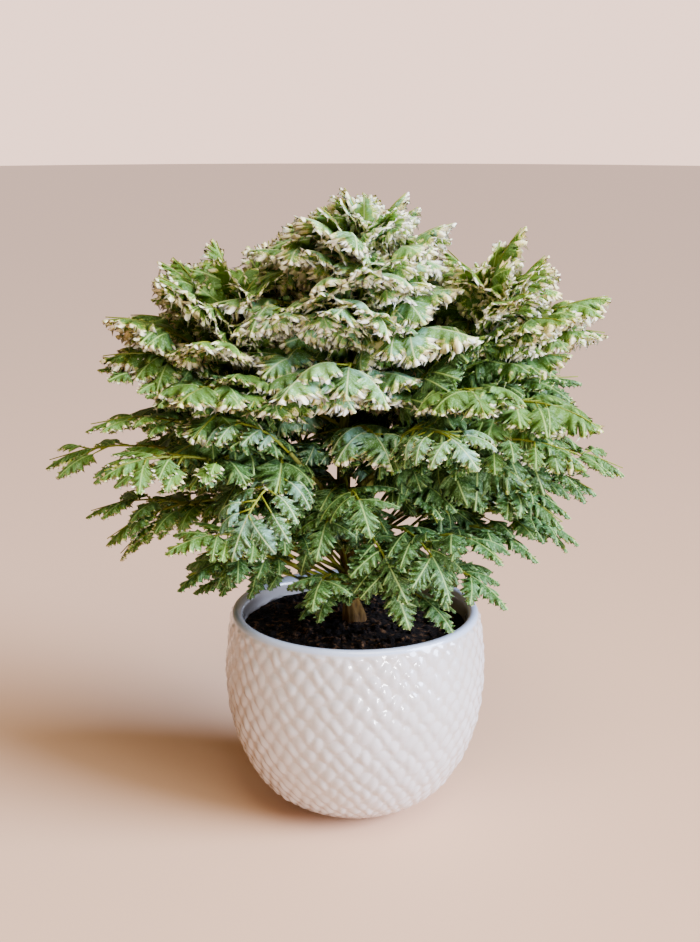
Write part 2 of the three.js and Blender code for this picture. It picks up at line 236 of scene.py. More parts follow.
makeStage()
print("stage: camera, floor and lights")


# Materials

# Noise scales are counts to a metre: 30 gives clouds about 33 mm wide, and 900 a grain of about 1 mm.
glazed = {
    "thin": "#B6ACA2", "thick": "#CBC3C0", "clouds": 30,
    # the valley colour is painted shade, laid into the valleys between the scales
    "valley": "#AF9C89", "valleyWeight": 0.5, "valleyTo": 0.3,
    # the lip colour is a painted reflection of the sky: bluish grey on the lip
    "lip": "#B4BCCB", "lipFrom": 97.4, "lipTo": 98.4,
    "ripples": 300, "bump": 0.2, "depth": 0.4,
    "shader": {"Roughness": 0.25, "IOR": 1.5, "Coat Weight": 0.8, "Coat Roughness": 0.06},
}


def glazedStoneware():
    # White-glazed stoneware, fired: a wet gloss over an off-white body, with a painted shade of warmer beige
    # in the valleys between the scales and a painted reflection of the sky, cold and bluish, on the lip. The
    # attribute "scale" is 0 in the valleys and 1 on the scales.
    material, tree, shader = newMaterial("white glazed stoneware")
    place = node(tree, "ShaderNodeTexCoord").outputs["Object"]
    height = node(tree, "ShaderNodeSeparateXYZ", {"Vector": place}).outputs["Z"]
    scale = node(tree, "ShaderNodeAttribute", attribute_name="scale").outputs["Fac"]
    clouds, ripples = (node(tree, "ShaderNodeTexNoise", {"Scale": size, "Detail": detail, "Vector": place})
                       for size, detail in ((glazed["clouds"], 3), (glazed["ripples"], 1)))
    # painted shade: a darker, warmer beige in the valleys, where the scale attribute is low
    paintedValleyShade = node(tree, "ShaderNodeMapRange", {"Value": scale, "From Max": glazed["valleyTo"],
                                               "To Min": glazed["valleyWeight"], "To Max": 0.0})
    # painted reflection: above this height the glaze turns bluish grey, as if it mirrored the sky
    paintedSkyOnLip = node(tree, "ShaderNodeMapRange", {"Value": height, "From Min": glazed["lipFrom"] * mm,
                                              "From Max": glazed["lipTo"] * mm})
    colour = layered(tree, linear(glazed["thin"]), (clouds.outputs["Fac"], linear(glazed["thick"])),
                     (paintedValleyShade.outputs["Result"], linear(glazed["valley"])),
                     (paintedSkyOnLip.outputs["Result"], linear(glazed["lip"])))
    setSkin(tree, shader, colour, ripples.outputs["Fac"], glazed)
    return material


peat = {
    "stops": ((0.35, "#060403"), (0.54, "#140C08"), (0.7, "#7A5638")), "crumbs": 260,
    "bump": 0.8, "depth": 0.8, "shader": {"Roughness": 0.92, "Specular IOR Level": 0.15},
}


def peatSoil():
    # Damp peat compost, crumbled by hand: near black, with browner dry crumbs and no shine
    material, tree, shader = newMaterial("peat compost")
    place = node(tree, "ShaderNodeTexCoord").outputs["Object"]
    crumbs = node(tree, "ShaderNodeTexNoise", {"Scale": peat["crumbs"], "Detail": 6, "Roughness": 0.7,
                                               "Vector": place}).outputs["Fac"]
    tone = node(tree, "ShaderNodeValToRGB", {"Fac": crumbs})
    setStops(tone.color_ramp, peat["stops"])
    setSkin(tree, shader, tone.outputs["Color"], crumbs, peat)
    return material


youngBark = {
    "from": 92, "to": 190, "stops": ((0, "#6A4A24"), (0.3, "#6C5A22"), (1, "#7C8032")),
    "grain": 900, "stretch": 0.12, "grainStops": ((0.3, "#4E4030"), (0.65, "#FFFFFF")), "grainWeight": 0.75,
    "bump": 0.8, "depth": 0.7, "shader": {"Roughness": 0.78, "Specular IOR Level": 0.15},
}


def greenBark():
    # Young woody stem: brown and grooved at the soil, olive green where it thins into the crowns
    material, tree, shader = newMaterial("young bark")
    place = node(tree, "ShaderNodeTexCoord").outputs["Object"]
    height = node(tree, "ShaderNodeMapRange", {
        "Value": node(tree, "ShaderNodeSeparateXYZ", {"Vector": place}).outputs["Z"],
        "From Min": youngBark["from"] * mm, "From Max": youngBark["to"] * mm})
    tone = node(tree, "ShaderNodeValToRGB", {"Fac": height.outputs["Result"]})
    setStops(tone.color_ramp, youngBark["stops"])
    upright = node(tree, "ShaderNodeMapping", {"Vector": place, "Scale": (1, 1, youngBark["stretch"])})
    grain = node(tree, "ShaderNodeTexNoise", {"Scale": youngBark["grain"], "Detail": 4,
                                              "Vector": upright.outputs["Vector"]}).outputs["Fac"]
    shade = node(tree, "ShaderNodeValToRGB", {"Fac": grain})
    setStops(shade.color_ramp, youngBark["grainStops"])
    inputs = {mixFactor: youngBark["grainWeight"], mixFirst: tone.outputs["Color"],
              mixSecond: shade.outputs["Color"]}
    mottled = node(tree, "ShaderNodeMix", inputs, data_type="RGBA", blend_type="MULTIPLY")
    setSkin(tree, shader, mottled.outputs[mixResult], grain, youngBark)
    return material


# For each layer of a frond's colour: where it starts, where it is full, and how strong it is there, which for
# some is a value of the look's own
skinLayers = {
    # the "shaded" layer is painted shade: the greens turn darker where the frost is low, low on the plant
    "shaded": (0.28, -0.1, 0.85), "flecks": (0.5, 0.64, "fleckWeight"),
    # the "sheen" layer is a painted sheen: bluish patches that stand in for light off the waxy skin
    "streaks": (0.3, 0.95, "streakWeight"), "sheen": (0.5, 0.66, "sheenWeight"),
    "below": (0.3, 0.8, 0.8), "rib": (0.038, 0.008, 0.62), "sideVein": (0.68, 1.0, "sideVein"),
    "edge": (0.76, 0.94, 1.0), "cream": (0.88, 1.0, 1.0), "beige": (0.4, 0.62, 1.0), "stalk": (2.0, 2.1, 1.0),
}
# The noises that break it up: scale, detail and roughness
skinGrains = {
    "flecks": (950, 3, 0.65), "sheen": (120, 2, 0.5), "patches": (230, 1, 0.5), "beige": (60, 1, 0.5),
}


def lamina(name, look):
    # Living frond: a waxy skin, green with pale veins and fine pale flecks, bleached to cream at the
    # leaflets' edges and tips, and olive below and on its stalks; low on the plant painted shade darkens the
    # greens. The leaflet's own map runs 0 to 1 along its rib in u, v is 0.5 on the rib, and a v far outside 0
    # to 1 marks a stalk. The attributes are "frost" (how far the cream comes in, and where it is low, how
    # much painted shade darkens the greens), "tint" (which green), "crease" (1 on a side vein), "under" (1 on
    # the underside) and "edge" (0 on the rib and 1 on the knobs).
    material, tree, shader = newMaterial(name)
    place = node(tree, "ShaderNodeTexCoord").outputs["Object"]
    own = node(tree, "ShaderNodeUVMap", uv_map="leaflet").outputs["UV"]
    along, aside = node(tree, "ShaderNodeSeparateXYZ", {"Vector": own}).outputs[:2]
    frost, tint, crease, under, edge = (node(tree, "ShaderNodeAttribute", attribute_name=key).outputs["Fac"]
                                        for key in ("frost", "tint", "crease", "under", "edge"))
    grains = {}
    for key, (scale, detail, rough) in skinGrains.items():
        inputs = {"Scale": scale, "Detail": detail, "Roughness": rough, "Vector": place}
        grains[key] = node(tree, "ShaderNodeTexNoise", inputs).outputs["Fac"]

    def weighted(total, *terms):
        # adds each value times its share
        for share, value in terms:
            inputs = {0: value, 1: share, 2: total}
            total = node(tree, "ShaderNodeMath", inputs, operation="MULTIPLY_ADD").outputs["Value"]
        return total

    def strength(layer, value):
        first, full, most = skinLayers[layer]
        inputs = {"Value": value, "From Min": first, "From Max": full, "To Max": look.get(most, most)}
        return node(tree, "ShaderNodeMapRange", inputs).outputs["Result"]

    offRib = node(tree, "ShaderNodeMath", {0: weighted(-1.0, (2.0, aside))}, operation="ABSOLUTE").outputs[0]
    # pale streaks run beside each side vein, among the flecks
    phase = weighted(0.0, (15.0, crease), (7.0, grains["flecks"]))
    streaks = node(tree, "ShaderNodeMath", {0: phase}, operation="SINE").outputs[0]
    silver = node(tree, "ShaderNodeMath", {0: strength("flecks", grains["flecks"]),
                                           1: strength("streaks", streaks)}, operation="MAXIMUM").outputs[0]
    # the cream reaches in from the edges and tips, in patches, further along the side veins and less below
    reach = weighted(-0.8, (1.0, frost), (0.7, grains["flecks"]), (0.9, grains["patches"]),
                     (look["byLength"], along), (look["byEdge"], edge), (0.12, crease), (-0.3, under))
    paint = {key: linear(value) for key, value in look.items() if str(value).startswith("#")}
    cream = layered(tree, paint["cream"], (strength("beige", grains["beige"]), paint["beige"]))
    # a painted sheen lies over the greens in bluish patches
    # painted shade darkens the greens where the frost is low
    colour = layered(tree, paint["deep"], (tint, paint["light"]),
                     (strength("shaded", frost), paint["shaded"]), (silver, paint["bloom"]),
                     (strength("sheen", grains["sheen"]), paint["sheen"]),
                     (strength("below", under), paint["below"]), (strength("rib", offRib), paint["vein"]),
                     (strength("sideVein", crease), paint["vein"]), (strength("edge", reach), paint["edge"]),
                     (strength("cream", reach), cream), (strength("stalk", offRib), paint["stalk"]))
    setSkin(tree, shader, colour, grains["flecks"], look)
    return material


# light comes through the thin blades
laminaShader = {"Specular IOR Level": 0.25, "Subsurface Weight": 0.4, "Subsurface Radius": (0.8, 1.0, 0.5),
                "Subsurface Scale": 2 * mm}
# in both looks, "shaded" is the colour of the painted shade on the low greens
# in both looks, "sheen" is the colour of the painted sheen
frostedLook = {
    "shaded": "#234C18", "deep": "#4B7222", "light": "#7AA452", "bloom": "#A6CCB0", "sheen": "#88B8A4",
    "below": "#6B7F18", "vein": "#D2E09C", "edge": "#CDD35E", "cream": "#FFF9D2", "beige": "#FBEBB4",
    "stalk": "#7C821A", "streakWeight": 0.5, "sheenWeight": 0.5, "fleckWeight": 0.5, "sideVein": 0.75,
    "byLength": 0.24, "byEdge": 0.66, "bump": 0.4, "depth": 0.3,
    "shader": {"Roughness": 0.56, **laminaShader},
}
greenLook = {
    "shaded": "#1C3A0C", "deep": "#36520C", "light": "#587A24", "bloom": "#8CB672", "sheen": "#6C9C62",
    "below": "#5A6E12", "vein": "#AAC26A", "edge": "#A6B63C", "cream": "#FFF6C8", "beige": "#F6DF9C",
    "stalk": "#6C7216", "streakWeight": 0.42, "sheenWeight": 0.25, "fleckWeight": 0.42, "sideVein": 0.62,
    "byLength": 0.22, "byEdge": 0.6, "bump": 0.4, "depth": 0.3,
    "shader": {"Roughness": 0.52, **laminaShader},
}

glaze = glazedStoneware()
compost = peatSoil()
bark = greenBark()
frondSkins = {"frosted_frond": lamina("frosted frond skin", frostedLook),
              "green_frond": lamina("green frond skin", greenLook)}
print("materials: glaze, compost, bark and two frond skins")


# Pot

pot = {
    "foot": [(0, 0), (25.5, 0), (27.2, 0.3), (29.5, 1.0)],
    "outline": [(27, 0), (33, 2.5), (43, 10), (50.8, 20), (58, 35), (62, 52), (63.3, 70), (62.3, 86),
                (60.8, 97.4)],
    "scalesRound": 44, "scaleRows": 19, "scaleFrom": 2.5, "scaleTo": 97.2, "scaleRise": 1.05,
    "scaleHeights": (0.8, 0.2), "scaleRoundness": 2.3, "scaleSlant": 0.26, "scaleDip": 0.14,
    "fadeAtFoot": 2.6, "fadeAtLip": 0.15,  # in rows
    "stepsPerRow": 7, "turns": 396, "outerWall": 1.5,
    "lip": [(60.6, 98.4), (60.1, 99.4), (59.2, 100), (57.6, 100), (56.4, 99.5), (55.4, 98.3), (54.9, 96.5)],
    "inside": [(54.6, 94), (57, 62), (50.5, 28), (33, 6), (0, 6)],
}


def splinePoint(points, place):
    # the uniform Catmull-Rom curve of the pot's outline, end points repeated
    i = min(int(place), len(points) - 2)
    w = place - i
    p0, p1 = points[max(i - 1, 0)], points[i]
    p2, p3 = points[i + 1], points[min(i + 2, len(points) - 1)]
    return tuple(0.5 * ((2 * b) + (c - a) * w + (2 * a - 5 * b + 4 * c - d) * w * w
                        + (3 * b - a - 3 * c + d) * w ** 3) for a, b, c, d in zip(p0, p1, p2, p3))


def evenOutline(points, count):
    # points that lie evenly along the outline
    dense = [splinePoint(points, place) for place in np.linspace(0, len(points) - 1, count)]
    lengths = np.concatenate([[0], np.cumsum([math.dist(a, b) for a, b in zip(dense, dense[1:])])])
    even = np.linspace(0, lengths[-1], count)
    return np.stack([np.interp(even, lengths, [p[k] for p in dense]) for k in (0, 1)], axis=1)


def scaleRelief(turn, row):
    # each scale is a low pillow in a diamond of the slanting lattice, pressed by hand: its own height and
    # slant, and a place that wanders a little
    turn = turn + 0.16 * np.sin(1.9 * row + 0.8 * turn) * np.sin(0.7 * turn + 1.3)
    row = row + 0.2 * np.sin(1.3 * turn + 0.4 * row) + 0.1 * np.sin(2.3 * turn - 1.7 * row)
    a = (turn + row - 1) / 2
    b = (turn - row - 1) / 2
    nearA, nearB = np.round(a), np.round(b)
    da, db = (a - nearA) * 2, (b - nearB) * 2
    wander = np.sin(nearA * 12.9898 + nearB * 78.233 + 0.7) * 43.7
    least, most = pot["scaleHeights"]
    height = least + most * np.sin(wander * 3.1)
    slant = pot["scaleSlant"] * (da * np.sin(wander * 5.3) + db * np.sin(wander * 7.9))
    slant = slant - pot["scaleDip"] * (da - db)
    power = pot["scaleRoundness"]
    edge = (np.abs(da) ** power + np.abs(db) ** power) ** (1 / power)
    pillow = np.clip(1 - edge ** 2, 0, 1)
    return pillow * (height + slant), np.clip(1.8 * pillow, 0, 1)


def makePot():
    samples = evenOutline(pot["outline"], 801)
    first = int(np.argmax(samples[:, 1] >= pot["scaleFrom"]))
    last = int(np.argmax(samples[:, 1] >= pot["scaleTo"]))
    steps = pot["scaleRows"] * pot["stepsPerRow"]
    rows = np.array([samples[round(lerp(first, last, k / steps))] for k in range(steps + 1)]) * mm
    profile = pot["foot"] + [tuple(r / mm) for r in rows] + pot["lip"] + pot["inside"]
    piece = spunProfile("glazed_pot", [(r * mm, z * mm) for r, z in profile], pot["turns"])
    points = readPoints(piece.data)
    radius = np.hypot(points[:, 0], points[:, 1])
    turn = (np.arctan2(points[:, 1], points[:, 0]) / (2 * math.pi) % 1) * 2 * pot["scalesRound"]
    row = np.interp(points[:, 2], rows[:, 1], np.linspace(0, pot["scaleRows"], len(rows)))
    wall = np.interp(points[:, 2], rows[:, 1], rows[:, 0])
    between = (points[:, 2] > rows[0, 1]) & (points[:, 2] < rows[-1, 1])
    outside = between & (radius > wall - pot["outerWall"] * mm)
    relief, scale = scaleRelief(turn, row)
    fade = np.minimum(row / pot["fadeAtFoot"], (pot["scaleRows"] - row) / pot["fadeAtLip"])
    fade = np.clip(fade, 0, 1) * outside
    rise = pot["scaleRise"] * mm * relief * fade
    slope = np.interp(points[:, 2], rows[:, 1], np.gradient(rows[:, 0], rows[:, 1]))
    out = 1 / np.sqrt(1 + slope ** 2)
    points[:, :2] += points[:, :2] / np.maximum(radius, 1e-6)[:, None] * (rise * out)[:, None]
    points[:, 2] -= rise * out * slope
    writePoints(piece.data, points)
    tone = piece.data.attributes.new("scale", "FLOAT", "POINT")
    tone.data.foreach_set("value", np.where(outside, scale, 1).astype(np.float32))
    pick(piece)
    bpy.ops.object.shade_smooth_by_angle(angle=rad(50))
    finishPiece(piece, glaze, "white_glaze", "pot")


makePot()
print("pot: glazed, with its scales")


# Soil

soil = {
    "wall": [(0, 6.35), (32.3, 6.35), (50.1, 28), (56.6, 62), (54.4, 88.5)], "edgeRadius": 54.4,
    "edgeHeight": 90.5, "crownHeight": 94, "crownRadius": 54, "turns": 150, "rings": 52,
    "lumps": ((0.09, 1.7, 0.9), (0.35, 7.1, 0.7), (0.9, 3.3, 0.4)),  # lumps in a mm, their layer, their rise
    "rough": 0.9, "crumbs": 420, "crumbReach": 50, "crumbSizes": (0.6, 0.8, 0.9, 1.1, 1.4, 2.0, 2.6),
    "crumbRough": 0.45, "crumbLift": 0.25,
}


def soilHeight(x, y):
    rise = lerp(soil["crownHeight"], soil["edgeHeight"], min(math.hypot(x, y) / soil["crownRadius"], 1))
    lumps = sum(noise.noise(Vector((x * close, y * close, layer))) * high
                for close, layer, high in soil["lumps"])
    return rise + lumps * soil["rough"]


def makeSoil():
    top = [(lerp(soil["edgeRadius"], 0, k / soil["rings"]), 90) for k in range(soil["rings"] + 1)]
    piece = spunProfile("compost", [(r * mm, z * mm) for r, z in soil["wall"] + top], soil["turns"])
    points = readPoints(piece.data) / mm
    for p in points:
        if p[2] > soil["wall"][-1][1] + 0.5:
            p[2] = soilHeight(p[0], p[1])
    writePoints(piece.data, points * mm)

    dropSelection()
    bpy.ops.mesh.primitive_ico_sphere_add(subdivisions=1, radius=1 * mm, location=(0, 0, 0))
    master = bpy.context.object
    ball = readPoints(master.data)
    faces = [tuple(f.vertices) for f in master.data.polygons]
    bpy.data.objects.remove(master)
    draw = random.Random(5)
    allPoints, allFaces = [], []
    for _ in range(soil["crumbs"]):
        r = soil["crumbReach"] * math.sqrt(draw.random())
        a = draw.uniform(0, 2 * math.pi)
        size = draw.choice(soil["crumbSizes"])
        stretch = np.array([draw.uniform(0.7, 1.3), draw.uniform(0.7, 1.3), draw.uniform(0.5, 0.95)])
        turn = draw.uniform(0, math.pi)
        crumb = ball * stretch * size
        seed = Vector((draw.uniform(0, 50), draw.uniform(0, 50), draw.uniform(0, 50)))
        rough = np.array([1 + soil["crumbRough"] * noise.noise(seed + Vector(p) * 1400) for p in ball])
        crumb = crumb * rough[:, None]
        x, y = r * math.cos(a), r * math.sin(a)
        centre = np.array([x, y, soilHeight(x, y) + soil["crumbLift"] * size]) * mm
        allFaces += [tuple(i + len(allPoints) * len(ball) for i in f) for f in faces]
        allPoints.append(crumb @ turned(turn).T + centre)
    mesh = bpy.data.meshes.new("crumbs")
    mesh.from_pydata(np.concatenate(allPoints).tolist(), [], allFaces)
    crumbs = bpy.data.objects.new("crumbs", mesh)
    bpy.context.scene.collection.objects.link(crumbs)
    pick(piece)
    crumbs.select_set(True)
    bpy.ops.object.join()
    finishPiece(piece, compost, "potting_soil", "soil")


makeSoil()
print("soil: uneven compost and its crumbs")


# Stems. The points and radii are the solid's, in millimetres.

stems = {
    "main": {"points": [(0, 0, 57), (0, 0, 91), (-2, 0, 104), (-4, 0, 132), (-6, -1, 165), (-5, -1, 195),
                        (-1, 0, 222), (3, 0, 246), (4, 0, 264)],
             "radii": [7, 6.6, 4.3, 3.7, 3, 2.5, 2, 1.5, 1.1]},
    "left": {"points": [(-4, 0, 130), (-22, 1, 156), (-42, 3, 184), (-62, 4, 226)], "radii": [2.6, 1.1]},
    "right": {"points": [(-6, -1, 150), (14, -2, 170), (40, -3, 194), (66, -3, 232)], "radii": [2.6, 1.1]},
    "backLeft": {"points": [(-4, 0, 128), (-16, 18, 154), (-30, 36, 182), (-38, 46, 208)], "radii": [2.2, 1]},
    "backRight": {"points": [(-4, 0, 140), (12, 20, 164), (26, 38, 188), (36, 48, 210)], "radii": [2.2, 1]},
    "back": {"points": [(-5, 0, 150), (-3, 24, 174), (0, 42, 200), (1, 48, 220)], "radii": [2.2, 1]},
    "frontLeft": {"points": [(-6, -1, 150), (-18, -18, 168), (-30, -32, 186)], "radii": [1.9, 1]},
    "frontRight": {"points": [(-6, -1, 154), (8, -20, 172), (22, -34, 188)], "radii": [1.9, 1]},
}
trunk = {"voxel": 0.5, "soften": 6, "grooves": ((5, 0.04, 0.35), (9, -0.05, 0.25)), "knots": 0.8,
         "depth": 0.8, "grooveTop": 135, "fadeTop": 140, "fadeLength": 30}


def stemPoint(stem, along):
    # the centripetal Catmull-Rom curve that the solid follows
    points = [Vector(p) for p in stem["points"]]
    place = along * (len(points) - 1)
    i = min(int(place), len(points) - 2)
    w = place - i
    p1, p2 = points[i], points[i + 1]
    p0 = points[i - 1] if i > 0 else p1 * 2 - p2
    p3 = points[i + 2] if i + 2 < len(points) else p2 * 2 - p1
    d0, d1, d2 = ((q - p).length ** 0.5 for p, q in ((p0, p1), (p1, p2), (p2, p3)))
    t1 = ((p1 - p0) / d0 - (p2 - p0) / (d0 + d1) + (p2 - p1) / d1) * d1
    t2 = ((p2 - p1) / d1 - (p3 - p1) / (d1 + d2) + (p3 - p2) / d2) * d1
    return p1 + t1 * w + (p2 * 3 - p1 * 3 - t1 * 2 - t2) * w ** 2 + (p1 * 2 - p2 * 2 + t1 + t2) * w ** 3


def stemRadius(stem, along):
    return float(np.interp(along, np.linspace(0, 1, len(stem["radii"])), stem["radii"]))


def makeStems():
    tubes = []
    for name, stem in stems.items():
        steps = 10 * (len(stem["points"]) - 1)
        curve = bpy.data.curves.new(name, "CURVE")
        curve.dimensions = "3D"
        curve.bevel_depth = 1
        curve.bevel_resolution = 4
        curve.use_fill_caps = True
        spline = curve.splines.new("POLY")
        spline.points.add(steps)
        for k, point in enumerate(spline.points):
            point.co = (*(stemPoint(stem, k / steps) * mm), 1)
            point.radius = stemRadius(stem, k / steps) * mm
        tube = bpy.data.objects.new(name, curve)
        bpy.context.scene.collection.objects.link(tube)
        tubes.append(tube)
    dropSelection()
    for tube in tubes:
        tube.select_set(True)
    bpy.context.view_layer.objects.active = tubes[0]
    bpy.ops.object.convert(target="MESH")
    bpy.ops.object.join()
    piece = bpy.context.object
    piece.name = "woody_stems"
    remesh = piece.modifiers.new("grow together", "REMESH")
    remesh.mode = "VOXEL"
    remesh.voxel_size = trunk["voxel"] * mm
    bpy.ops.object.modifier_apply(modifier=remesh.name)
    smooth = piece.modifiers.new("soften forks", "SMOOTH")
    smooth.factor = 0.5
    smooth.iterations = trunk["soften"]
    bpy.ops.object.modifier_apply(modifier=smooth.name)
    # grooves that run up the trunk and fade into the boughs
    points = readPoints(piece.data)
    line = np.array([stemPoint(stems["main"], k / 59)[:] for k in range(60)])
    for p in points:
        z = p[2] / mm
        if z > trunk["grooveTop"]:
            continue
        cx, cy = (float(np.interp(z, line[:, 2], line[:, axis])) * mm for axis in (0, 1))
        turn = math.atan2(p[1] - cy, p[0] - cx)
        groove = sum(deep * math.sin(count * turn + twist * z) for count, twist, deep in trunk["grooves"])
        knot = noise.noise(Vector((p[0] * 150, p[1] * 150, p[2] * 60))) * trunk["knots"]
        strength = min(max((trunk["fadeTop"] - z) / trunk["fadeLength"], 0), 1)
        grow = (groove + knot) * strength * mm * trunk["depth"]
        p[0] += math.cos(turn) * grow
        p[1] += math.sin(turn) * grow
    writePoints(piece.data, points)
    pick(piece)
    bpy.ops.object.shade_smooth()
    finishPiece(piece, bark, "bark", "stems")


makeStems()
print("stems: trunk and boughs grown together")


# Leaflets. Each kind is shaped once, flat, one unit long, and then copied and bent for every frond.

leafletKinds = {
    "fan": {"lobes": (4, 5, 6), "from": 0.07, "to": 0.68, "angle": (98, 32), "length": (0.36, 0.48, 0.31),
            "cut": 0.48, "waist": 0.78, "waistWidth": 0.84, "end": 1.08, "drop": 0.18, "cup": 0.03,
            "puff": 0.03, "ruffle": 0.04},
    "oak": {"lobes": (5, 6, 7), "from": 0.06, "to": 0.84, "angle": (66, 38), "length": (0.25, 0.32, 0.14),
            "cut": 0.62, "waist": 0.82, "waistWidth": 0.8, "end": 0.92, "drop": 0.14, "cup": 0.028,
            "puff": 0.024, "ruffle": 0.018},
}
lobeColumns = 7
tipColumns = 4
veinColumn = 3
lastColumn = lobeColumns - 1
leafletFoot = (0.02, 0.02)
longestAt = 0.4  # the longest lobe's place among the lobes
mergeWithin = 0.002


def makeLobes(kind, count):
    # each lobe's place on the rib, its angle from the rib and its length
    lobes = []
    for k in range(count):
        u = k / (count - 1)
        first, most, last = kind["length"]
        if u < longestAt:
            length = lerp(first, most, u / longestAt)
        else:
            length = lerp(most, last, ((u - longestAt) / (1 - longestAt)) ** 1.6)
        lobes.append((lerp(kind["from"], kind["to"], u), rad(lerp(*kind["angle"], u)), length))
    return lobes


def lobePoint(place, angle, out, side=0.0):
    c, s = math.cos(angle), math.sin(angle)
    return place + c * out + s * side, s * out - c * side


def notchPoint(kind, lobes, after):
    # the bottom of the gap between this lobe and the next
    if after < 0:
        return leafletFoot
    place, angle, length = lobes[after]
    spacing = lobes[1][0] - lobes[0][0]
    turn = lobes[0][1] - lobes[1][1]
    nextLength = lobes[after + 1][2] if after + 1 < len(lobes) else 0.8 * length
    return lobePoint(place + spacing / 2, angle - turn / 2, kind["cut"] * (length + nextLength) / 2)


def leafletPoint(kind, lobes, lobe, column, row):
    # where a corner of the flat grid goes: row 0 is the rib, row 1 the notches and row 2 the lobes' knobs
    if lobe == len(lobes):
        shoulder = leafletPoint(kind, lobes, lobe - 1, lastColumn, 2)
        knob = leafletPoint(kind, lobes, lobe - 1, lastColumn - 1, 2)
        side = [notchPoint(kind, lobes, lobe - 1), (shoulder[0] + 0.01, 0.72 * shoulder[1]),
                (knob[0] + 0.01, 0.84 * knob[1]), (0.965, 0.42 * knob[1])][column]
        return side if row else ((lerp(side[0], 1, 0.2), 0) if column < 3 else (1, 0))
    place, angle, length = lobes[lobe]
    spacing = lobes[1][0] - lobes[0][0]
    turn = lobes[0][1] - lobes[1][1]
    if row == 0:
        return place + (column > 0) * spacing / 2 + (column == lastColumn) * spacing / 2 - spacing / 2, 0
    if row == 1:
        if column in (0, lastColumn):
            return notchPoint(kind, lobes, lobe - (column == 0))
        return lobePoint(place, angle, 1.05 * kind["cut"] * length)
    out = (kind["waist"], 0.9, 0.87, 1, 0.87, 0.9, kind["waist"])[column]
    knob, notch = kind["end"], 0.46 * kind["end"]
    side = (-kind["waistWidth"], -knob, -notch, 0, notch, knob, kind["waistWidth"])[column]
    half = (spacing * math.sin(angle) + turn * out * length) / 2
    return lobePoint(place, angle, out * length, side * half)


def selectOnly(mesh, kind, chosen):
    # in object mode: selects these faces, edges or vertices and nothing else
    bpy.ops.object.mode_set(mode="EDIT")
    bpy.ops.mesh.select_mode(type=kind)
    bpy.ops.mesh.select_all(action="DESELECT")
    bpy.ops.object.mode_set(mode="OBJECT")
    for part in {"FACE": mesh.polygons, "EDGE": mesh.edges, "VERT": mesh.vertices}[kind]:
        part.select = part.index in chosen


def editMesh(operator, **settings):
    bpy.ops.object.mode_set(mode="EDIT")
    operator(**settings)
    bpy.ops.object.mode_set(mode="OBJECT")


def markPoints(mesh, name, chosen):
    values = mesh.attributes.new(name, "FLOAT", "POINT")
    values.data.foreach_set("value", np.asarray(chosen, dtype=np.float32))


def readMarks(mesh, name):
    values = np.empty(len(mesh.vertices))
    mesh.attributes[name].data.foreach_get("value", values)
    return values


